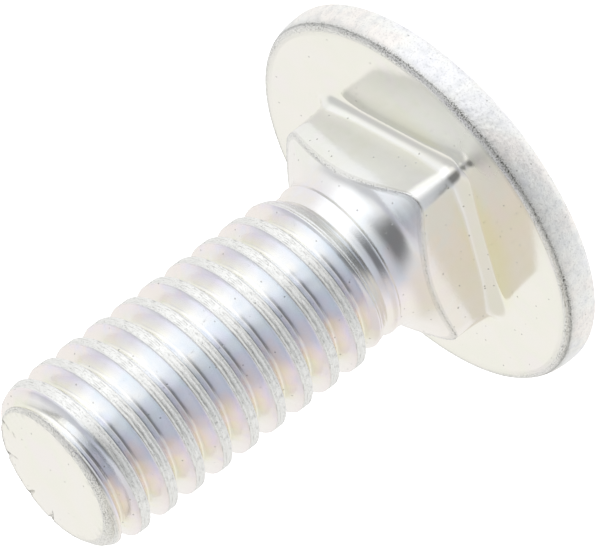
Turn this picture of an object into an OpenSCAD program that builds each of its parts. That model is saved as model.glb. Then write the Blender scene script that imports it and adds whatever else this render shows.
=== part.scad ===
// Carriage bolt: a low domed head, a square neck and a rolled coarse thread, formed from one piece of wire.
// The origin is the centre of the bearing face under the head. +Z runs up the shank to the threaded tip,
// so the bolt stands on the slight flat at the crown of its head. The neck's flats face along X and Y.

/* [Head] */
// Widest diameter of the head, at its rim
head_d = 17.5; // [15.5:0.1:24]
// How far the rim stands out past the flat bearing face, on the radius
rim_overhang = 0.35; // [0.2:0.05:1]
// Depth of the rounded edge between the bearing face and the rim
edge_drop = 0.95; // [0.2:0.05:1]
// Depth from the bearing face down to where the rim turns into the dome
rim_h = 1.45; // [1.1:0.05:2.5]
// Height of the whole head, from the bearing face down to the crown
head_h = 3.7; // [3:0.05:6]
// Width of the slight flat that forming leaves on the crown, on which the bolt stands
crown_flat_d = 3.2; // [1:0.1:5]

/* [Square neck] */
// Width across the flats
neck_w = 7.9; // [7.4:0.1:9]
// Radius on the four upright corners
corner_r = 0.65; // [0.3:0.05:1.2]
// Height of the flats at the middle of their arched upper edge
neck_h = 2.85; // [2.4:0.05:4.5]
// Angle of the shoulder above the flats, measured from the bolt's axis
shoulder_angle = 65; // [45:1:75]
// Radius of the fillet between the neck and the bearing face
root_fillet = 0.55; // [0.2:0.05:0.9]
// Radius of the wide fillet that leads from the shoulder into the plain shank
shank_fillet = 1.1; // [0.3:0.05:1.5]

/* [Shank and thread] */
// Length from the bearing face to the end face
bolt_l = 19.05; // [14:0.05:40]
// Diameter over the thread crests
thread_d = 7.6; // [7.5:0.05:8.2]
// Distance from one crest to the next
pitch = 1.411; // [1.3:0.001:1.6]
// Height of the thread from root to crest
thread_depth = 0.7; // [0.6:0.01:0.75]
// Width of the flat on top of the thread
crest_w = 0.44; // [0.2:0.01:0.5]
// How far the plain shank beside the neck lies below the crests, on the radius
body_drop = 0.3; // [0:0.01:0.36]
// Length of that plain shank
plain_l = 0.3; // [0.2:0.05:3]
// Length of the taper that leads from it down to the thinner wire that the thread is rolled from
step_l = 0.3; // [0.2:0.05:0.8]
// How far that wire lies below the crests, on the radius, because rolling raises them
shank_drop = 0.38; // [0.25:0.01:0.5]
// Length over which the thread grows out of the wire
runout_l = 1.5; // [0.8:0.1:3]
// Angle round the axis at which the crest reaches the end face
start_angle = 270; // [0:5:355]

/* [Tip] */
// How far the edge of the end face lies inside the thread roots
tip_inset = 0.1; // [0.02:0.01:0.4]
// Depth of the steep edge round the end face
tip_edge_h = 0.16; // [0.05:0.01:0.4]
// Width of that edge across the radius
tip_edge_w = 0.38; // [0.2:0.02:0.5]
// Length over which the crests grow to their full height
tip_lead = 2.2; // [1:0.1:4]

/* [Hidden] */

// Facets of round surfaces, and of one turn of thread
ROUND_FN = 96;
TURN_FN = 36;
// Steps of a quarter round in a profile
QUARTER_STEPS = 5;
DOME_STEPS = 14;
// How deep one part of the bolt runs into the next
JOIN = 0.3;
// How far the thread's plain end lies inside the wire's surface, so that the two join cleanly
SINK = 0.03;
// The least that the flats of the neck stand out past the plain shank
SHELF = 0.1;
FLANK_ANGLE = 30;

head_r = head_d / 2;
bearing_r = head_r - rim_overhang;
half_w = neck_w / 2;
crest_r = thread_d / 2;
root_r = crest_r - thread_depth;
shank_r = crest_r - shank_drop;
body_r = min(crest_r - body_drop, half_w - SHELF);
tip_r = root_r - tip_inset;

// The dome is the part of a sphere between the edge of the crown's flat and the turn below the rim
crown_r = crown_flat_d / 2;
cap_h = head_h - rim_h;
dome_centre = (head_r * head_r - crown_r * crown_r + cap_h * cap_h) / (2 * cap_h);
dome_r = sqrt(crown_r * crown_r + dome_centre * dome_centre);

// The shoulder cone passes through the middle of each arch at neck_h, and would meet the shank at shoulder_z
shoulder_z = neck_h + (half_w - body_r) / tan(shoulder_angle);
// Height at which the fillet above the shoulder has become the plain shank
foot_z = shoulder_z + shank_fillet * tan(shoulder_angle / 2);
// Outermost reach of the neck's filleted foot, which the shoulder leaves whole
neck_reach = sqrt(2) * half_w + root_fillet;
step_z = foot_z + plain_l;
thread_z = step_z + step_l;

// The root is an arc that both flanks run into, so its radius follows from what the crest and flanks leave
arc_angle = 90 - FLANK_ANGLE;
root_arc = (pitch / 2 - crest_w / 2 - thread_depth * tan(FLANK_ANGLE))
    / (sin(arc_angle) - tan(FLANK_ANGLE) * (1 - cos(arc_angle)));
// Distance from the crest's middle to the foot of the straight flank
flank_foot = pitch / 2 - root_arc * sin(arc_angle);

function mix(a, b, share) = a + (b - a) * share;
function quarter(from = 0, to = 90) = [for (k = [0:QUARTER_STEPS]) mix(from, to, k / QUARTER_STEPS)];

// Head

function rim_profile() = [for (a = quarter()) [bearing_r + rim_overhang * sin(a), -edge_drop * (1 - cos(a))]];

function dome_profile() = [
    for (k = [0:DOME_STEPS])
        let (a = mix(asin(head_r / dome_r), asin(crown_r / dome_r), k / DOME_STEPS))
        [dome_r * sin(a), dome_centre - dome_r * cos(a) - head_h]
];

module head() {
    color("#dcdcd4")
        rotate_extrude($fn = ROUND_FN)
            polygon(concat([[0, 0]], rim_profile(), dome_profile(), [[0, -head_h]]));
}

// Square neck

// Half width of the neck's foot at height z: the concave fillet that runs out onto the bearing face
function foot_profile(base) = concat(
    [[0, -JOIN], [base + root_fillet, -JOIN]],
    [for (a = quarter()) [base + root_fillet * (1 - sin(a)), root_fillet * (1 - cos(a))]],
    [[base, foot_z], [0, foot_z]]);

// Both flats that face along X, with their fillets, as long as the straight part of the neck's side
module flat_pair() {
    straight = neck_w - 2 * corner_r;
    rotate([90, 0, 0])
        linear_extrude(height = straight, center = true)
            union() {
                polygon(foot_profile(half_w));
                mirror([1, 0]) polygon(foot_profile(half_w));
            }
}

module upright_corner() {
    rotate_extrude($fn = ROUND_FN / 2) polygon(foot_profile(corner_r));
}

// Everything that the shoulder cone and the fillet above it leave standing
module shoulder_form() {
    reach_z = shoulder_z - (neck_reach - body_r) / tan(shoulder_angle);
    rotate_extrude($fn = ROUND_FN)
        polygon(concat(
            [[0, -2 * JOIN], [neck_reach, -2 * JOIN], [neck_reach, reach_z]],
            [for (a = quarter(shoulder_angle, 0))
                [body_r + shank_fillet * (1 - cos(a)), foot_z - shank_fillet * sin(a)]],
            [[0, foot_z]]));
}

module square_neck() {
    inset = half_w - corner_r;
    color("#cfcfc6")
        intersection() {
            union() {
                flat_pair();
                rotate([0, 0, 90]) flat_pair();
                for (x = [-inset, inset], y = [-inset, inset]) translate([x, y, 0]) upright_corner();
            }
            shoulder_form();
        }
}

// Shank

module plain_shank() {
    color("#c3c4c0")
        rotate_extrude($fn = ROUND_FN)
            polygon([[0, -JOIN], [body_r, -JOIN], [body_r, step_z], [shank_r, thread_z], [0, thread_z]]);
}

// Thread
// The surface is a grid of columns round the axis. Its rows follow the helix, so that crests, flanks and roots
// stay sharp, and they end level where the thread meets the shank and the edge of the end face.

base_z = thread_z - JOIN;
edge_z = bolt_l - tip_edge_h;

// Places across one pitch that get a row, measured up the axis from the middle of a crest
root_step = root_arc * sin(arc_angle / 2);
flank_mid = (crest_w / 2 + flank_foot) / 2;
HALF_ROWS = [crest_w / 2, flank_mid, flank_foot, pitch / 2 - root_step];
ROWS = concat([for (k = [3:-1:0]) -HALF_ROWS[k]], HALF_ROWS, [pitch / 2]);
row_count = len(ROWS);
turn_count = ceil((bolt_l - base_z) / pitch) + 2;
last_row = (turn_count + 2) * row_count;

function turn_of(angle) = (angle - start_angle) / 360;

// Radius of the endless thread at a distance x from the nearest crest's middle
function thread_r(x) =
    x <= crest_w / 2 ? crest_r
    : x <= flank_foot ? crest_r - (x - crest_w / 2) / tan(FLANK_ANGLE)
    : root_r + root_arc - sqrt(max(0, root_arc * root_arc - (pitch / 2 - x) * (pitch / 2 - x)));

// The tapered tip keeps the crests down to this radius at a depth below the end face
function tip_limit(depth) =
    let (share = min(1, max(0, (depth - tip_edge_h) / (tip_lead - tip_edge_h))))
    mix(tip_r + tip_edge_w, crest_r, 1 - pow(1 - share, 3));

// From 0 on the bare wire to 1 where the thread is whole
function growth(z) =
    let (share = min(1, max(0, (z - thread_z) / runout_l)))
    share * share * (3 - 2 * share);

function surface_r(angle, z) =
    let (
        along = (z - bolt_l) / pitch - turn_of(angle),
        x = abs(along - round(along)) * pitch
    )
    mix(shank_r - SINK, min(thread_r(x), tip_limit(bolt_l - z)), growth(z));

function row_z(column, row) =
    let (
        turn = floor(row / row_count),
        z = bolt_l + pitch * (turn - turn_count + turn_of(360 * column / TURN_FN)) + ROWS[row % row_count]
    )
    min(edge_z, max(base_z, z));

// A column's rows that lie on one of the level ends are all the same point, which its first or last row stands for
function corner_at(column, row) =
    let (
        wraps = column == TURN_FN,
        i = wraps ? 0 : column,
        j = wraps ? min(last_row, row + row_count) : row,
        z = row_z(i, j)
    )
    i * (last_row + 1) + (z <= base_z ? 0 : z >= edge_z ? last_row : j);

function grid_points() = [
    for (i = [0:TURN_FN - 1])
        let (angle = 360 * i / TURN_FN)
        for (j = [0:last_row])
            let (z = row_z(i, j), r = surface_r(angle, z))
            [r * cos(angle), r * sin(angle), z]
];

function grid_faces() = [
    for (i = [0:TURN_FN - 1], j = [0:last_row - 1])
        let (
            a = corner_at(i, j),
            b = corner_at(i + 1, j),
            c = corner_at(i + 1, j + 1),
            d = corner_at(i, j + 1)
        )
        each [if (b != c) [a, c, b], if (a != d) [a, d, c]]
];

module thread() {
    side = grid_points();
    ring = [for (i = [0:TURN_FN - 1]) let (a = 360 * i / TURN_FN) [tip_r * cos(a), tip_r * sin(a), bolt_l]];
    first = len(side);
    edge_faces = [
        for (i = [0:TURN_FN - 1])
            let (
                next = (i + 1) % TURN_FN,
                a = i * (last_row + 1) + last_row,
                b = next * (last_row + 1) + last_row
            )
            each [[a, first + next, b], [a, first + i, first + next]]
    ];
    end_face = [for (i = [TURN_FN - 1:-1:0]) first + i];
    base_face = [for (i = [0:TURN_FN - 1]) i * (last_row + 1)];
    color("#d6d7d6")
        polyhedron(
            points = concat(side, ring),
            faces = concat(grid_faces(), edge_faces, [end_face], [base_face]),
            convexity = 10);
}

module carriage_bolt() {
    union() {
        head();
        square_neck();
        plain_shank();
        thread();
    }
}

carriage_bolt();
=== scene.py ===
"""A zinc-plated carriage bolt on a white light table, built round its CAD part.

The bolt is one smooth surface that stands for the CAD node. Its grid of columns round the axis runs from the
crown of the head over the rim, the bearing face, the square neck and the helical thread to the end face.
"""

import functools
import math

import bpy
import numpy as np
from bpy.props import FloatProperty, FloatVectorProperty, PointerProperty
from mathutils import Matrix


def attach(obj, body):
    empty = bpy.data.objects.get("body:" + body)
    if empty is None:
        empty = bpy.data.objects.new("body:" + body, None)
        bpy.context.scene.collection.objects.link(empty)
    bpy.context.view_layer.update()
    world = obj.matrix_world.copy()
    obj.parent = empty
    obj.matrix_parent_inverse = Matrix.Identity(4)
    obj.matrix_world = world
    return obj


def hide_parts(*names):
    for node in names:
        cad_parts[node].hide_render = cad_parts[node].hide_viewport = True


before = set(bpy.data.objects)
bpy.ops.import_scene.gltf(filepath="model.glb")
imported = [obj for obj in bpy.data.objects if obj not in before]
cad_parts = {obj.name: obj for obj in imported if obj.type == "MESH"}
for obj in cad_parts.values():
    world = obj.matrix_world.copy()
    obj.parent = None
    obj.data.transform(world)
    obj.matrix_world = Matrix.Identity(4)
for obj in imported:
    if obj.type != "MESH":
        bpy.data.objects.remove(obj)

bl_info = {
    "name": "Carriage bolt",
    "version": (1, 0, 0),
    "blender": (4, 5, 0),
    "location": "3D View > Sidebar > Carriage Bolt",
    "description": "Builds a zinc-plated carriage bolt and the light table it is photographed on",
    "category": "Add Mesh",
}

MM = 0.001
PER_MM = 1000


def linear(code):
    """The linear colour of an sRGB hex code such as #d8d8d0."""
    channels = (int(code[i : i + 2], 16) / 255 for i in (1, 3, 5))
    return tuple(c / 12.92 if c <= 0.04045 else ((c + 0.055) / 1.055) ** 2.4 for c in channels)


# Settings


class BoltSettings(bpy.types.PropertyGroup):
    """Sizes and colours of the bolt."""

    length: FloatProperty(name="Length", description="From the bearing face to the end face",
                          default=19.05 * MM, unit="LENGTH")
    head_diameter: FloatProperty(name="Head diameter", description="Widest diameter of the head",
                                 default=17.5 * MM, unit="LENGTH")
    head_height: FloatProperty(name="Head height", description="From the bearing face to the crown",
                               default=3.7 * MM, unit="LENGTH")
    neck_width: FloatProperty(name="Neck width", description="Across the flats of the square neck",
                              default=7.9 * MM, unit="LENGTH")
    neck_height: FloatProperty(name="Neck height", description="Height of the flats at their middle",
                               default=2.85 * MM, unit="LENGTH")
    thread_diameter: FloatProperty(name="Thread diameter", description="Over the crests",
                                   default=7.6 * MM, unit="LENGTH")
    pitch: FloatProperty(name="Pitch", description="From one crest to the next",
                         default=1.411 * MM, unit="LENGTH", precision=5)
    thread_depth: FloatProperty(name="Thread depth", description="From root to crest",
                                default=0.7 * MM, unit="LENGTH")
    zinc: FloatVectorProperty(name="Zinc plate", description="Colour of the plated steel seen square on",
                              default=linear("#f8f8f8"), size=3, subtype="COLOR", min=0, max=1)
    # The dark colour of pits and specks, also used for the shade painted along the edges
    specks_and_shade: FloatVectorProperty(name="Pits", description="Colour at the bottom of pits and of stray specks",
                              default=linear("#4b4b46"), size=3, subtype="COLOR", min=0, max=1)


# Geometry of the bolt, in millimetres until the mesh is made

COLUMNS = 272
# Columns stand closer together at the neck's corners, by this much at most
CORNER_CROWDING = 0.11
BEARING_OVERHANG = 0.35
EDGE_DROP = 0.95
RIM_H = 1.45
CROWN_R = 1.6
# The turn from dome to rim starts this far inside their corner and ends this far up the rim
TURN_IN = 0.28
TURN_UP = 0.3
CORNER_R = 0.65
# The corners are this much rounder at their upper ends than at the root
CORNER_GROWTH = 0.15
ROOT_FILLET = 0.55
# The root fillet is wider round the neck's corners, by this share
CORNER_FILLET = 0.35
SHOULDER = math.radians(65)
SHANK_FILLET = 1.1
BODY_DROP = 0.3
PLAIN_L = 0.3
STEP_L = 0.3
# A faint lip where the plain shank ends: height and half width
LIP_H = 0.03
LIP_W = 0.09
SHANK_DROP = 0.38
RUNOUT_L = 1.5
START_ANGLE = math.radians(270)
CREST_W = 0.44
FLANK = math.radians(30)
# Seams along the top of the crest: distance from its middle towards the tip, and depth
CREST_SEAMS = ((0.125, 0.04), (-0.09, 0.025))
SEAM_W = 0.035
SEAM_WANDER = 0.012
# Rows to either side of the crest's middle: closest together at its edges and seams
CREST_ROWS = (0.05, 0.09, 0.125, 0.16, 0.2, 0.225, 0.26, 0.35, 0.46, 0.57, 0.64)
# How far rolling leaves the thread's surface wavy
THREAD_WAVES = 0.006
TIP_INSET = 0.1
TIP_EDGE_H = 0.16
TIP_EDGE_W = 0.38
TIP_LEAD = 2.2
# The wire was sheared slightly obliquely: how far the end face stands proud, and towards which side
OBLIQUE = 0.15
OBLIQUE_TOWARDS = math.radians(165)
# The end face's edge is rounded down and ragged by this much
END_ROUND = 0.03
END_RAGGED = 0.015
# Nicks in the edge of the end face: angle round the axis and depth, and their half width in radians
NICKS = (
    (math.radians(100), 0.14), (math.radians(62), 0.2), (math.radians(135), 0.12), (math.radians(160), 0.16))
NICK_W = 0.035
# The flats roll off below their arched edges on one side: strength in 1/mm, reach and direction
ROLL = 0.04
ROLL_REACH = 1.4
ROLL_TOWARDS = 0.15
# How far the forged shoulder rises along X and along Y, because it sits out of square
SHOULDER_LEAN = (0.04, 0.2)
# The head of the photographed bolt sits this far out of square, as turns about X and Y, up to this height
HEAD_TILT = (math.radians(1.6), math.radians(-0.9))
TILT_H = 1.9
# Widths over which edges are rounded: the arches of the flats, the thread's crests and the tapered tip
ARCH_BLEND = 0.05
CREST_BLEND = 0.06
TIP_BLEND = 0.05


def smoothstep(x, low, high):
    """0 below low, 1 above high, and an S-curve between them."""
    s = np.clip((x - low) / (high - low), 0, 1)
    return s * s * (3 - 2 * s)


def smooth_min(a, b, width):
    """The lesser of two values, rounded over a band of the given width where they meet."""
    h = np.clip(0.5 + 0.5 * (b - a) / width, 0, 1)
    return b + (a - b) * h - width * h * (1 - h)


def waves(angle, z, seed, count=7, fine=9.0):
    """A smooth irregular field round the axis: a sum of sines, whose turns, pitch and phase are drawn by seed."""
    rng = np.random.default_rng(seed)
    total = np.zeros(np.broadcast(angle, z).shape)
    for _ in range(count):
        turns, along = rng.integers(1, int(fine) + 1), rng.uniform(-fine, fine) * 0.25
        total = total + np.sin(turns * angle + along * z + rng.uniform(0, math.tau))
    return total / math.sqrt(count)


def corner_fold(angle):
    """The angle from the middle of the nearest flat of the neck, 45 degrees at a corner."""
    return np.abs((angle + math.pi / 4) % (math.pi / 2) - math.pi / 4)


def square_reach(angle, half_w, corner_r):
    """Distance from the axis to a rounded square: half_w / cos along a flat, and the arc's far root at a corner."""
    inset = half_w - corner_r
    fold = corner_fold(angle)
    flat = half_w / np.cos(fold)
    along, across = inset * (np.cos(fold) + np.sin(fold)), inset * (np.cos(fold) - np.sin(fold))
    arc = along + np.sqrt(np.maximum(corner_r**2 - across**2, 0))
    return np.where(flat * np.sin(fold) <= inset, flat, arc)


def shoulder_lean(angle):
    """How far the shoulder is raised at an angle: a plane wave once round the axis."""
    return SHOULDER_LEAN[0] * np.cos(angle) + SHOULDER_LEAN[1] * np.sin(angle)


def polar(points):
    """Angle round the axis, radius and height of each point."""
    return np.arctan2(points[:, 1], points[:, 0]), np.hypot(points[:, 0], points[:, 1]), points[:, 2]


class BoltForm:
    """The bolt's derived sizes and its surface. Each row of it is a radius and a height for every column."""

    def __init__(self, settings):
        self.length = settings.length * PER_MM
        self.head_r = settings.head_diameter * PER_MM / 2
        self.bearing_r = self.head_r - BEARING_OVERHANG
        self.head_h = settings.head_height * PER_MM
        self.half_w = settings.neck_width * PER_MM / 2
        self.crest_r = settings.thread_diameter * PER_MM / 2
        self.pitch = settings.pitch * PER_MM
        self.root_r = self.crest_r - settings.thread_depth * PER_MM
        self.shank_r = self.crest_r - SHANK_DROP
        self.body_r = self.crest_r - BODY_DROP
        self.tip_r = self.root_r - TIP_INSET
        self.shoulder_z = settings.neck_height * PER_MM + (self.half_w - self.body_r) / math.tan(SHOULDER)
        self.foot_z = self.shoulder_z + SHANK_FILLET * math.tan(SHOULDER / 2)
        self.step_z = self.foot_z + PLAIN_L
        self.thread_z = self.step_z + STEP_L
        depth = self.crest_r - self.root_r
        arc = math.pi / 2 - FLANK
        self.root_arc = (self.pitch / 2 - CREST_W / 2 - depth * math.tan(FLANK)) / (
            math.sin(arc) - math.tan(FLANK) * (1 - math.cos(arc)))
        self.flank_foot = self.pitch / 2 - self.root_arc * math.sin(arc)
        u = np.arange(COLUMNS) * math.tau / COLUMNS
        self.angle = u + CORNER_CROWDING * np.sin(4 * u)

    def ring(self, radius, z):
        """A level or shaped row: radius and z broadcast over the columns."""
        return np.broadcast_to(radius, (COLUMNS,)).copy(), np.broadcast_to(z, (COLUMNS,)).copy()

    def head_rows(self):
        """Crown flat, spherical dome, rounded turn, rim and the rounded edge of the bearing face."""
        cap = self.head_h - RIM_H
        centre = (self.head_r**2 - CROWN_R**2 + cap**2) / (2 * cap)
        dome_r = math.hypot(CROWN_R, centre)
        rows = [(r, -self.head_h) for r in (0.5, 1.0, 1.45)]
        lean = np.linspace(math.asin(CROWN_R / dome_r), math.asin((self.head_r - TURN_IN) / dome_r), 22)
        rows += [(dome_r * math.sin(a), centre - dome_r * math.cos(a) - self.head_h) for a in lean]
        # The turn is a quadratic curve from the dome's last point by the corner to a point on the rim
        turn = np.array([rows[-1], (self.head_r, -RIM_H), (self.head_r, -RIM_H + TURN_UP)])
        rows += [np.array([(1 - t) ** 2, 2 * t * (1 - t), t * t]) @ turn for t in np.linspace(0, 1, 7)[1:]]
        # The edge is a quarter of an ellipse, with its rows closer together towards the bearing face
        for a in math.pi / 2 * np.linspace(1, 0, 16) ** 1.6:
            rows.append((self.bearing_r + BEARING_OVERHANG * math.sin(a), -EDGE_DROP * (1 - math.cos(a))))
        return [self.ring(r, z) for r, z in rows]

    def neck_rows(self):
        """The bearing face in to the neck's foot, the fillet, and the flats cut by the shoulder cone."""
        rows = []
        fillet = ROOT_FILLET * (1 + CORNER_FILLET * smoothstep(corner_fold(self.angle), 0.35, math.pi / 4))
        foot = square_reach(self.angle, self.half_w + fillet, CORNER_R + fillet)
        for t in (0.03, 0.1, 0.22, 0.36, 0.5, 0.64, 0.78, 0.9):
            rows.append(self.ring(self.bearing_r + (foot - self.bearing_r) * t, 0.0))
        for a in np.linspace(0, math.pi / 2, 9):
            grown = fillet * (1 - math.sin(a))
            rows.append(self.ring(square_reach(self.angle, self.half_w + grown, CORNER_R + grown),
                                  fillet * (1 - math.cos(a))))
        lean = shoulder_lean(self.angle)
        arch = self.arch_height(self.angle)
        heights = [fillet + (arch + lean - fillet) * t - lean for t in (0.2, 0.4, 0.6, 0.8, 0.92)]
        heights += [arch + d for d in (-0.05, -0.02, 0.01, 0.04)]
        heights += [arch + 0.04 + (self.foot_z - arch - 0.04) * t for t in np.linspace(0, 1, 15)[1:]]
        rolled = smoothstep(np.cos(self.angle - ROLL_TOWARDS), 0.6, 0.97)
        for z in heights:
            settled = np.clip((z - arch) / (self.foot_z - arch), 0, 1)
            corner_r = CORNER_R + CORNER_GROWTH * smoothstep(z, 0.2, 1.9)
            square = square_reach(self.angle, self.half_w, corner_r)
            square = square - ROLL * rolled * np.clip(z - arch + ROLL_REACH, 0, None) ** 2
            rows.append(self.ring(smooth_min(square, self.shoulder_r(z), ARCH_BLEND), z + lean * (1 - settled)))
        rows += [self.ring(self.blank_r(z), z) for z in np.linspace(self.foot_z, self.step_z - 0.06, 5)[1:]]
        return rows

    def shoulder_r(self, z):
        """Radius of the shoulder cone and of the wide fillet that carries it into the plain shank."""
        cone = self.body_r + (self.shoulder_z - z) * math.tan(SHOULDER)
        drop = np.clip(self.foot_z - z, 0, SHANK_FILLET * math.sin(SHOULDER))
        arc = self.body_r + SHANK_FILLET - np.sqrt(SHANK_FILLET**2 - drop**2)
        return np.where(self.foot_z - z > SHANK_FILLET * math.sin(SHOULDER), cone, arc)

    def shoulder_height(self, radius):
        """The height at which the shoulder has the given radius."""
        cone = self.shoulder_z - (radius - self.body_r) / math.tan(SHOULDER)
        inward = np.clip(self.body_r + SHANK_FILLET - radius, SHANK_FILLET * math.cos(SHOULDER), SHANK_FILLET)
        arc = self.foot_z - np.sqrt(SHANK_FILLET**2 - inward**2)
        return np.where(radius > self.body_r + SHANK_FILLET * (1 - math.cos(SHOULDER)), cone, arc)

    def arch_height(self, angle):
        """The height of the arched edge, where the shoulder meets the upper ends of the flats and corners."""
        return self.shoulder_height(square_reach(angle, self.half_w, CORNER_R + CORNER_GROWTH))

    def blank_r(self, z):
        """The shank before the thread is rolled: the plain part, a faint lip, and the taper to the thread's blank."""
        lip = LIP_H * np.exp(-(((z - self.step_z + 0.02) / LIP_W) ** 2))
        return self.body_r + lip + (self.shank_r - self.body_r) * smoothstep(z, self.step_z, self.thread_z)

    def from_crest(self, angle, z):
        """Distance along the axis from the middle of the nearest turn of the crest, towards the tip."""
        along = (z - self.length) / self.pitch - (angle - START_ANGLE) / math.tau
        return (along - np.round(along)) * self.pitch

    def thread_r(self, x):
        """Radius at a distance x along the axis from a crest's middle: flat crest, straight flank, root arc."""
        flank = self.crest_r - (x - CREST_W / 2) / math.tan(FLANK)
        root = self.root_r + self.root_arc - np.sqrt(np.maximum(self.root_arc**2 - (self.pitch / 2 - x) ** 2, 0))
        body = np.where(x <= self.flank_foot, flank, root)
        return smooth_min(body, np.full_like(body, self.crest_r), CREST_BLEND)

    def surface_r(self, angle, z):
        """The thread with the seams on its crest, held in by the tapered tip and grown out of the plain shank."""
        across = self.from_crest(angle, z)
        r = self.thread_r(np.abs(across))
        # Rolling pushes the metal up from both sides, so that shallow seams stay along the top of the crest
        wander = SEAM_WANDER * waves(angle, z, 11, 7, 30)
        for place, depth in CREST_SEAMS:
            r = r - depth * np.exp(-(((across - place - wander) / SEAM_W) ** 2))
        r = r + THREAD_WAVES * (waves(angle, z, 3, 9, 30) - 1)
        tip = np.clip((self.length - z - TIP_EDGE_H) / (TIP_LEAD - TIP_EDGE_H), 0, 1)
        limit = self.tip_r + TIP_EDGE_W + (self.crest_r - self.tip_r - TIP_EDGE_W) * (1 - (1 - tip) ** 3)
        grown = smoothstep(z, self.thread_z, self.thread_z + RUNOUT_L)
        blank = self.blank_r(z)
        return blank + (smooth_min(r, limit, TIP_BLEND) - blank) * grown

    def thread_rows(self):
        """Rows that follow the helix, held level where the thread meets the shank and the end face's edge."""
        marks = np.array([*(-m for m in CREST_ROWS[::-1]), 0.0, *CREST_ROWS, self.pitch / 2])
        low, high = self.step_z - 0.03, self.length - TIP_EDGE_H
        turns = math.ceil((high - low) / self.pitch) + 1
        rows = []
        for turn in range(-turns - 1, 3):
            for mark in marks:
                z = self.length + self.pitch * (turn + (self.angle - START_ANGLE) / math.tau) + mark
                z = np.clip(z, low, high)
                rows.append((self.surface_r(self.angle, z), z))
        return rows, len(marks)

    def tip_rows(self):
        """The steep edge round the end face, and the end face itself."""
        edge_z = self.length - TIP_EDGE_H
        outer = self.surface_r(self.angle, np.full(COLUMNS, edge_z))
        proud = OBLIQUE * (0.5 + 0.5 * np.cos(self.angle - OBLIQUE_TOWARDS)) ** 2
        ragged = END_RAGGED * waves(self.angle, 0.0, 5, 9, 40)
        for angle, depth in NICKS:
            off = (self.angle - angle + math.pi) % math.tau - math.pi
            ragged = ragged + depth * np.exp(-((off / NICK_W) ** 2))
        rows = []
        for t in (0.35, 0.7, 0.9):
            height = edge_z + (TIP_EDGE_H + proud) * t
            rows.append(self.ring(outer + (self.tip_r - outer) * t - ragged * t, height))
        for t in (0.975, 0.9, 0.7, 0.45, 0.2):
            near = smoothstep(t, 0.8, 1.0)
            height = self.length - END_ROUND * near + proud * t - ragged * near
            rows.append(self.ring(self.tip_r * t - ragged * near, height))
        return rows

    def crest_mask(self, points):
        """1 on the crests that have grown out of the shank, falling to 0 just past their edges."""
        angle, _, z = polar(points)
        across = np.abs(self.from_crest(angle, z))
        grown = smoothstep(z, self.thread_z + 0.4, self.thread_z + 1.4) * (z < self.length - TIP_EDGE_H - 0.01)
        return (1 - smoothstep(across, CREST_W / 2 - 0.02, CREST_W / 2 + 0.05)) * grown

    def edge_mask(self, points):
        """How much wear and painted shade the edges get: 1 in a line round the head's rounded edge, and less beside
        that line, along the arched edges of the flats and on the steep edge of the end face."""
        angle, r, z = polar(points)
        band = smoothstep(r, self.bearing_r - 0.14, self.bearing_r + 0.04) * smoothstep(z, -0.34, -0.16) * (z <= 0.01)
        line = np.exp(-(((z + 0.17) / 0.06) ** 2)) * (r > self.bearing_r)
        tip = 0.6 * (z > self.length - TIP_EDGE_H - 0.02) * smoothstep(r, self.tip_r - 0.09, self.tip_r + 0.02)
        off = np.abs(z - shoulder_lean(angle) - self.arch_height(angle))
        arch = 0.55 * (1 - smoothstep(off, 0.03, 0.07)) * (r > self.body_r + 0.2)
        return np.max([0.7 * band + 0.3 * line, tip, arch], 0)

    def matt_mask(self, points):
        """1 on the rim and the dome, from just below the bearing face."""
        return smoothstep(-points[:, 2], 0.01, 0.12)

    def foot_mask(self, points):
        """1 on the bearing face beside the neck's foot, less on the side away from -Y, fading out over 1 mm."""
        angle, r, z = polar(points)
        side = 0.2 + 0.8 * smoothstep(-np.sin(angle), -0.3, 0.8)
        return side * (1 - smoothstep(r, 4.9, 5.9)) * (1 - smoothstep(z, 0.01, 0.05))

    def scuff_mask(self, points):
        """1 where the bearing face is scuffed matt, off one corner of the neck."""
        angle, r, z = polar(points)
        return np.exp(-(((angle + math.pi / 4) / 0.16) ** 2)) * smoothstep(r, 6.5, 7.0) * (z < 0.01)


def tilt_head(points):
    """Turns the head about the origin by HEAD_TILT, fading out over the lower neck, so the shank stays true."""
    share = 1 - smoothstep(points[:, 2], 0.0, TILT_H)
    x, y, z = points.T
    ax, ay = HEAD_TILT
    return np.stack([x + share * ay * z, y - share * ax * z, z + share * (ax * y - ay * x)], -1)


def grid_mesh(name, rows, wrap, angle, crown_z, end_z):
    """A closed mesh from rows of the column grid, with a pole at each end.

    After the last column a row goes on as row wrap[j] of the first column, which is how the helix climbs. Where a
    row lies on the one below it, the two share their vertices, and triangles without area are left out.
    """
    radius = np.array([r for r, _ in rows])
    z = np.array([h for _, h in rows])
    count = len(rows)
    points = np.stack([radius * np.cos(angle), radius * np.sin(angle), z], -1).reshape(-1, 3)
    points = np.concatenate([points, [[0, 0, crown_z], [0, 0, end_z]]])
    index = np.arange(count * COLUMNS).reshape(count, COLUMNS)
    for j in range(1, count):
        same = (np.abs(z[j] - z[j - 1]) < 1e-9) & (np.abs(radius[j] - radius[j - 1]) < 1e-9)
        index[j] = np.where(same, index[j - 1], index[j])
    beside = np.roll(index, -1, 1)
    beside[:, -1] = index[wrap, 0]
    a, b, c, d = (v.ravel() for v in (index[:-1], beside[:-1], beside[1:], index[1:]))
    crown, end = np.full(COLUMNS, len(points) - 2), np.full(COLUMNS, len(points) - 1)
    faces = np.concatenate([np.stack(t, -1) for t in (
        (a, b, c), (a, c, d), (crown, beside[0], index[0]), (end, index[-1], beside[-1]))])
    faces = faces[(faces[:, 0] != faces[:, 1]) & (faces[:, 1] != faces[:, 2]) & (faces[:, 2] != faces[:, 0])]
    used, faces = np.unique(faces, return_inverse=True)
    mesh = bpy.data.meshes.new(name)
    mesh.from_pydata(points[used].tolist(), [], faces.reshape(-1, 3).tolist())
    mesh.update()
    return mesh


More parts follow.
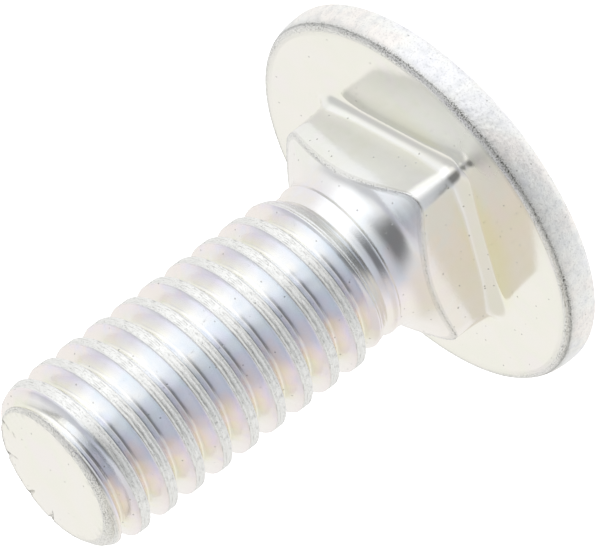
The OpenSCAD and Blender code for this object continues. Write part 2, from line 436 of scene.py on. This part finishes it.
# The numbers that each vertex keeps for the material
MASKS = ("across", "crest", "edge", "matt", "foot", "scuff")


def add_mask(mesh, name, values):
    """Keeps one number a vertex in the mesh for the material to read."""
    layer = mesh.attributes.new(name, "FLOAT", "POINT")
    layer.data.foreach_set("value", np.ascontiguousarray(values, np.float32))


# Materials


def add_node(tree, kind, *inputs, output=None, stops=(), **values):
    """Adds a shader node and returns the named output, or its first one.

    The inputs fill its sockets in order: another node's output is linked, and a number or colour is set as the
    socket's own value. Other values are the node's properties, or else sockets by name. Stops are a colour ramp's
    positions and colours, where a number stands for a grey.
    """
    node = tree.nodes.new("ShaderNode" + kind)
    named = []
    for name, value in values.items():
        if hasattr(node, name):
            setattr(node, name, value)
        else:
            named.append((node.inputs[name], value))
    for socket, value in [*zip((s for s in node.inputs if s.enabled), inputs), *named]:
        if isinstance(value, bpy.types.NodeSocket):
            tree.links.new(value, socket)
        else:
            socket.default_value = (*value, 1) if socket.type == "RGBA" else value
    if stops:
        elements = node.color_ramp.elements
        while len(elements) < len(stops):
            elements.new(0.5)
        for element, (position, colour) in zip(elements, stops):
            element.position = position
            element.color = (*(linear(colour) if isinstance(colour, str) else (colour,) * 3), 1)
    return node.outputs[output] if output else next((s for s in node.outputs if s.enabled), None)


# Interference colours of the clear film, painted round the axis as the light tent brings them out on each side,
# against the share of a turn from -X by way of -Y: in the roots and on the shoulder, beside the crests, and on the
# flats of the neck. They are pale, because light bounces repeatedly.
ROOT_FILM_SHEEN = [
    (0.10, "#fffdf8"), (0.15, "#fdfcf4"), (0.19, "#fdfbe9"), (0.235, "#fff7ea"), (0.28, "#fff6f3"),
    (0.33, "#f6f6ff"), (0.39, "#f7faff"), (0.44, "#fffffe"), (0.50, "#fffffa"), (0.53, "#fffef6"),
    (0.57, "#f9faec"), (0.61, "#fffaf5"), (0.8, "#fffbf6")]
CREST_FILM_SHEEN = [
    (0.10, "#fffaf8"), (0.19, "#fff8f8"), (0.235, "#fbf4ff"), (0.28, "#f4f3ff"), (0.32, "#f2f5ff"),
    (0.36, "#f1f8ff"), (0.40, "#f4f9fd"), (0.445, "#f8faff"), (0.50, "#f8f7ff"), (0.53, "#f6f3ff"),
    (0.57, "#fdf6fb"), (0.61, "#fff8f5"), (0.8, "#fffbf6")]
FLATS_FILM_SHEEN = [(0.25, "#fff9f6"), (0.34, "#fffdf9"), (0.44, "#fbfeff")]
# Colours of the film's clouds on the head and end face, of a yellow tint beside the neck's foot that is strongest
# towards -Y, and of the clouds on the rim and dome
STRAW_FILM = [(0.30, "#fffdf8"), (0.45, "#fffdf5"), (0.56, "#fdfdf3"), (0.72, "#fffbf8")]
FOOT_TINT = "#fefce1"
RIM_CLOUDS = [(0.34, "#f1f2f3"), (0.48, "#fbfbfb"), (0.62, "#fffffe")]
RIM_HAZE = [(0.38, "#fafbff"), (0.50, "#fcfdfc"), (0.60, "#fffcfa")]
WORN_ZINC = "#fbfcfb"
# Where the film changes, as shares of the bolt's length: the flats, the shank's film, and the thread's crests
FLATS_SPAN = [(0.01, 0.0), (0.03, 1.0), (0.9, 1.0), (0.95, 0.0)]
SHANK_SPAN = [(0.0, 0.0), (0.03, 0.4), (0.12, 0.4), (0.2, 1.0), (0.984, 1.0), (0.992, 0.0)]
CRESTS_FROM = [(0.14, 0.0), (0.2, 1.0)]


def zinc_plate(settings):
    """Bright zinc plate with a clear passivate: a clean mirror with faint clouds, a painted rainbow sheen round the
    axis, grain, stray pits and painted shade along the edges.
    """
    material = bpy.data.materials.new("bright_zinc_plate")
    material.use_nodes = True
    tree = material.node_tree
    add = functools.partial(add_node, tree)
    place = add("TexCoord", output="Object")
    across, crest, edge, matt, foot, scuff = (
        add("Attribute", attribute_name=name, output="Fac") for name in MASKS)
    worn = add("Math", crest, edge, operation="MAXIMUM")

    # The passivate's clear film: straw clouds on the head and end face, and a painted sheen of lilac, blue, pink and
    # amber round the shank
    x, y, z = add("SeparateXYZ", place).node.outputs
    height = add("Math", z, settings.length, operation="DIVIDE")
    radius = add("VectorMath", add("CombineXYZ", x, y), operation="LENGTH")
    drift = add("Math", add("TexNoise", place, PER_MM / 0.8, 2.0), 0.24, 0.38, operation="MULTIPLY_ADD")
    turn = add("Math", y, x, operation="ARCTAN2")
    phase = add("Math", turn, 1 / math.tau, drift, operation="MULTIPLY_ADD")
    crest_r = settings.thread_diameter / 2
    rise = add("MapRange", radius, crest_r - 0.62 * MM, crest_r - 0.15 * MM)
    rise = add("Math", rise, add("ValToRGB", height, stops=CRESTS_FROM), operation="MULTIPLY")
    # Painted sheen: the film's interference colours laid on by the angle round the axis, as the tent's light shows
    # them on each side
    at_root, at_crest, flats = (
        add("ValToRGB", phase, stops=stops) for stops in (ROOT_FILM_SHEEN, CREST_FILM_SHEEN, FLATS_FILM_SHEEN))
    shank = add("Mix", rise, at_root, at_crest, data_type="RGBA")
    straw = add("ValToRGB", add("TexNoise", place, PER_MM / 2.2, 1.0), stops=STRAW_FILM)
    # A yellow tint on the bearing face beside the neck's foot, strongest towards -Y
    straw = add("Mix", foot, straw, linear(FOOT_TINT), data_type="RGBA")
    straw = add("Mix", add("ValToRGB", height, stops=FLATS_SPAN), straw, flats, data_type="RGBA")
    above = add("ValToRGB", height, stops=SHANK_SPAN)
    film_and_sheen = add("Mix", above, straw, shank, data_type="RGBA")
    # The rim and the dome keep the forging's matt, faintly blue clouds
    clouded = add("ValToRGB", add("TexNoise", place, PER_MM / 0.35, 5.0), stops=RIM_CLOUDS)
    hazed = add("ValToRGB", add("TexNoise", place, PER_MM / 2.4, 2.0), stops=RIM_HAZE)
    clouded = add("Mix", 1.0, clouded, hazed, data_type="RGBA", blend_type="MULTIPLY")
    film_and_sheen = add("Mix", matt, film_and_sheen, clouded, data_type="RGBA")
    film_and_sheen = add("Mix", worn, film_and_sheen, linear(WORN_ZINC), data_type="RGBA")
    colour = add("Mix", 1.0, settings.zinc, film_and_sheen, data_type="RGBA", blend_type="MULTIPLY")

    # Fine drawn lines run along the crests of the thread, 0.05 mm apart and eight times as long
    drawn_x, drawn_y = (add("Math", side, 0.12, operation="MULTIPLY") for side in (x, y))
    lines = add("TexNoise", add("CombineXYZ", drawn_x, drawn_y, across), PER_MM / 0.05, 5.0, 0.65)
    scored = add("Math", crest, add("ValToRGB", lines, stops=[(0.36, 0.4), (0.47, 0.0)]), operation="MULTIPLY")

    # Stray pits and specks, under a tenth of a millimetre across and under a millimetre apart
    cells = add("TexVoronoi", place, PER_MM / 0.4).node.outputs
    chosen = add("Math", add("SeparateColor", cells["Color"]), 0.5, operation="GREATER_THAN")
    pit = add("ValToRGB", cells["Distance"], stops=[(0.05, 1.0), (0.12, 0.0)])
    pit = add("Math", chosen, pit, operation="MULTIPLY")
    pitted = add("Math", pit, 0.5, operation="MULTIPLY")

    # Painted shade along the edges, patchy and broken up by 0.05 mm grit, dark flecks on the rim, and specks on the
    # crests
    grain = add("TexNoise", place, PER_MM / 0.05, 4.0)
    patchy = add("ValToRGB", add("TexNoise", place, PER_MM / 1.3, 2.0), stops=[(0.40, 0.45), (0.56, 0.75)])
    # Painted shade: a dark grainy line along the head's rounded edge, the arches of the flats and the end face's edge
    grainy_edge_shade = add("Math", edge, add("ValToRGB", grain, stops=[(0.42, 1.0), (0.50, 0.0)]), operation="MULTIPLY")
    edge_shade = add("ValToRGB", edge, stops=[(0.0, 0.0), (0.1, 0.08), (0.7, 0.08), (1.0, 0.45)])
    edge_shade = add("Math", grainy_edge_shade, patchy, edge_shade, operation="MULTIPLY_ADD")
    flecks = add("ValToRGB", add("TexNoise", place, PER_MM / 0.08, 4.0), stops=[(0.36, 0.16), (0.46, 0.0)])
    flecks = add("Math", matt, flecks, operation="MULTIPLY")
    speckled = add("Math", crest, add("ValToRGB", grain, stops=[(0.36, 0.35), (0.43, 0.0)]), operation="MULTIPLY")
    dark = pitted
    for mark in (edge_shade, flecks, scored, speckled):
        dark = add("Math", dark, mark, operation="MAXIMUM")
    # Pits, specks, the drawn lines and the painted shade along the edges all take the dark colour
    colour = add("Mix", dark, colour, settings.specks_and_shade, data_type="RGBA")

    # Rolling leaves the flanks and flats bright; the crests and the rim stay matt, and scatter a little light
    rough, white = 0.0, 0.0
    for mask, dull, scatter in ((worn, 0.2, 0.1), (matt, 0.35, 0.22), (scuff, 0.3, 0.0)):
        rough = add("Math", add("Math", mask, dull, operation="MULTIPLY"), rough, operation="MAXIMUM")
        white = add("Math", add("Math", mask, scatter, operation="MULTIPLY"), white, operation="MAXIMUM")
    metallic = add("Math", 1.0, white, operation="SUBTRACT")
    rolled = add("Math", above, 0.07, 0.05, operation="MULTIPLY_ADD")
    rolled = add("Math", add("TexNoise", place, PER_MM / 0.9, 3.0), 0.12, rolled, operation="MULTIPLY_ADD")
    rough = add("Math", rolled, rough, operation="ADD")

    # Relief up to 0.02 mm: grain, soft ripples, creases of the rim, drawn lines and pits
    coarse = add("Math", above, 0.12, 0.04, operation="MULTIPLY_ADD")
    coarse = add("Math", edge, 0.5, coarse, operation="MULTIPLY_ADD")
    relief = add("Math", grain, coarse, operation="MULTIPLY")
    ripple = add("TexNoise", place, PER_MM / 0.35, 2.0)
    creased = add("Math", add("TexNoise", place, PER_MM / 0.22, 4.0), matt, operation="MULTIPLY")
    drawn = add("Math", lines, crest, operation="MULTIPLY")
    for form, strength in ((ripple, 0.1), (creased, 1.6), (drawn, 0.6), (pit, -0.4)):
        relief = add("Math", form, strength, relief, operation="MULTIPLY_ADD")
    normal = add("Bump", Height=relief, Distance=0.02 * MM, Strength=1.0)
    shader = tree.nodes["Principled BSDF"]
    for name, value in {"Base Color": colour, "Metallic": metallic, "Roughness": rough, "Normal": normal}.items():
        tree.links.new(value, shader.inputs[name])
    return material


# Scene


class OBJECT_OT_carriage_bolt(bpy.types.Operator):
    """Build the carriage bolt as one closed surface and give it its zinc plate"""

    bl_idname = "object.carriage_bolt_add"
    bl_label = "Carriage Bolt"

    def execute(self, context):
        settings = context.scene.carriage_bolt
        form = BoltForm(settings)
        below, (thread, per_turn) = form.head_rows() + form.neck_rows(), form.thread_rows()
        rows = below + thread + form.tip_rows()
        wrap = np.arange(len(rows))
        first, last = len(below), len(below) + len(thread) - 1
        wrap[first : last + 1] = np.minimum(wrap[first : last + 1] + per_turn, last)
        mesh = grid_mesh("carriage_bolt_surface", rows, wrap, form.angle, -form.head_h, form.length)
        co = np.zeros(len(mesh.vertices) * 3)
        mesh.vertices.foreach_get("co", co)
        points = co.reshape(-1, 3)
        angle, _, z = polar(points)
        values = (form.from_crest(angle, z) * MM, form.crest_mask(points), form.edge_mask(points),
                  form.matt_mask(points), form.foot_mask(points), form.scuff_mask(points))
        for name, mask in zip(MASKS, values):
            add_mask(mesh, name, mask)
        points = tilt_head(points)
        mesh.vertices.foreach_set("co", (points * MM).ravel())
        mesh.polygons.foreach_set("use_smooth", np.ones(len(mesh.polygons), bool))
        mesh.materials.append(zinc_plate(settings))
        mesh.update()
        bolt = bpy.data.objects.new("zinc_plated_bolt", mesh)
        context.scene.collection.objects.link(bolt)
        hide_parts("carriage_bolt")
        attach(bolt, "root")
        return {"FINISHED"}


# Light tent: the azimuth and elevation of each panel, half its width and height, how soft its edges are, all in
# degrees, and its colour and brightness. Later panels hang in front of earlier ones.
TENT = ("#fffefc", 0.93)
PANELS = [
    (-150, 32, 40, 32, 15, 15, "#fffcf5", 0.77),
    (-85, -22, 38, 26, 22, 15, "#f4f6f8", 0.70),
    (0, 90, 200, 20, 10, 14, "#f4f4ff", 0.60),
    (45, 56, 38, 28, 15, 15, "#f6f6f8", 0.68),
    (2, -4, 30, 44, 18, 20, "#ffffff", 1.22),
    (-68, 36, 33, 43, 20, 20, "#f4f4f3", 0.23),
]


def tent_world():
    """A light tent seen only in reflections and as soft light: one even colour with soft-edged panels in it."""
    world = bpy.data.worlds.new("light_tent")
    world.use_nodes = True
    tree = world.node_tree
    tree.nodes.clear()
    add = functools.partial(add_node, tree)
    x, y, z = add("SeparateXYZ", add("TexCoord", output="Generated")).node.outputs
    azimuth = add("Math", add("Math", y, x, operation="ARCTAN2"), operation="DEGREES")
    elevation = add("Math", add("Math", z, operation="ARCSINE"), operation="DEGREES")

    def glow(code, strength):
        return tuple(c * strength for c in linear(code))

    colour = glow(*TENT)
    for az, el, half_az, half_el, soft_az, soft_el, code, strength in PANELS:
        # A panel's share is 1 inside its edges and falls softly to 0 outside them
        off_az = add("Math", add("Math", azimuth, az, operation="SUBTRACT"), 180, -180, operation="WRAP")
        off_el = add("Math", elevation, el, operation="SUBTRACT")
        share = 1.0
        for off, half, soft in ((off_az, half_az, soft_az), (off_el, half_el, soft_el)):
            off = add("Math", off, operation="ABSOLUTE")
            window = add("MapRange", off, half + soft, half - soft, interpolation_type="SMOOTHSTEP")
            share = add("Math", share, window, operation="MULTIPLY")
        colour = add("Mix", share, colour, glow(code, strength), data_type="RGBA")
    add("OutputWorld", add("Background", colour))
    return world


# Opal acrylic lit from below, which gives an even white with no shadow on it
TABLE_HALF = 1.5
TABLE_WHITE = "#f4f4f4"

CAMERA_PLACE = (148.657, -150.555, 94.7)
CAMERA_RIGHT = (-0.21078, -0.64193, -0.73722)
CAMERA_UP = (0.73355, 0.39461, -0.55334)
CAMERA_LENS = 349.355


class OBJECT_OT_carriage_bolt_stage(bpy.types.Operator):
    """Set up the light table, the light tent and the camera"""

    bl_idname = "object.carriage_bolt_stage_add"
    bl_label = "Light Table"

    def execute(self, context):
        scene = context.scene
        mesh = bpy.data.meshes.new("light_table")
        z = -scene.carriage_bolt.head_height
        corners = [(TABLE_HALF * a, TABLE_HALF * b, z) for a, b in ((-1, -1), (1, -1), (1, 1), (-1, 1))]
        mesh.from_pydata(corners, [], [(0, 1, 2, 3)])
        material = bpy.data.materials.new("opal_acrylic_lit_from_below")
        material.use_nodes = True
        shader = material.node_tree.nodes["Principled BSDF"]
        shader.inputs["Base Color"].default_value = (*linear(TABLE_WHITE), 1)
        shader.inputs["Roughness"].default_value = 0.6
        shader.inputs["Emission Color"].default_value = (1, 1, 1, 1)
        shader.inputs["Emission Strength"].default_value = 1.0
        mesh.materials.append(material)
        table = bpy.data.objects.new("light_table", mesh)
        scene.collection.objects.link(table)
        table.visible_glossy = False

        scene.world = tent_world()
        data = bpy.data.cameras.new("camera")
        data.lens = CAMERA_LENS
        data.sensor_width = 36
        data.clip_start, data.clip_end = 0.01, 10
        camera = bpy.data.objects.new("camera", data)
        right, up = np.array(CAMERA_RIGHT), np.array(CAMERA_UP)
        back = np.cross(right, up)
        turn = Matrix(np.stack([right, up, back], 1).tolist()).to_4x4()
        camera.matrix_world = Matrix.Translation([c * MM for c in CAMERA_PLACE]) @ turn
        scene.collection.objects.link(camera)
        scene.camera = camera
        scene.view_settings.view_transform = "Standard"
        return {"FINISHED"}


class VIEW3D_PT_carriage_bolt(bpy.types.Panel):
    """Settings and buttons of the carriage bolt"""

    bl_label = "Carriage Bolt"
    bl_space_type = "VIEW_3D"
    bl_region_type = "UI"
    bl_category = "Carriage Bolt"

    def draw(self, context):
        settings = context.scene.carriage_bolt
        column = self.layout.column(align=True)
        for name in BoltSettings.__annotations__:
            column.prop(settings, name)
        column.operator(OBJECT_OT_carriage_bolt.bl_idname)
        column.operator(OBJECT_OT_carriage_bolt_stage.bl_idname)


CLASSES = (BoltSettings, OBJECT_OT_carriage_bolt, OBJECT_OT_carriage_bolt_stage, VIEW3D_PT_carriage_bolt)


def register():
    """Adds the settings, the operators and the sidebar panel."""
    for cls in CLASSES:
        bpy.utils.register_class(cls)
    bpy.types.Scene.carriage_bolt = PointerProperty(type=BoltSettings)


def unregister():
    """Takes away what register added."""
    del bpy.types.Scene.carriage_bolt
    for cls in reversed(CLASSES):
        bpy.utils.unregister_class(cls)


def main():
    """Builds the bolt and its stage."""
    register()
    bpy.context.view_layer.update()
    bpy.ops.object.carriage_bolt_add()
    bpy.ops.object.carriage_bolt_stage_add()


if __name__ == "__main__":
    main()
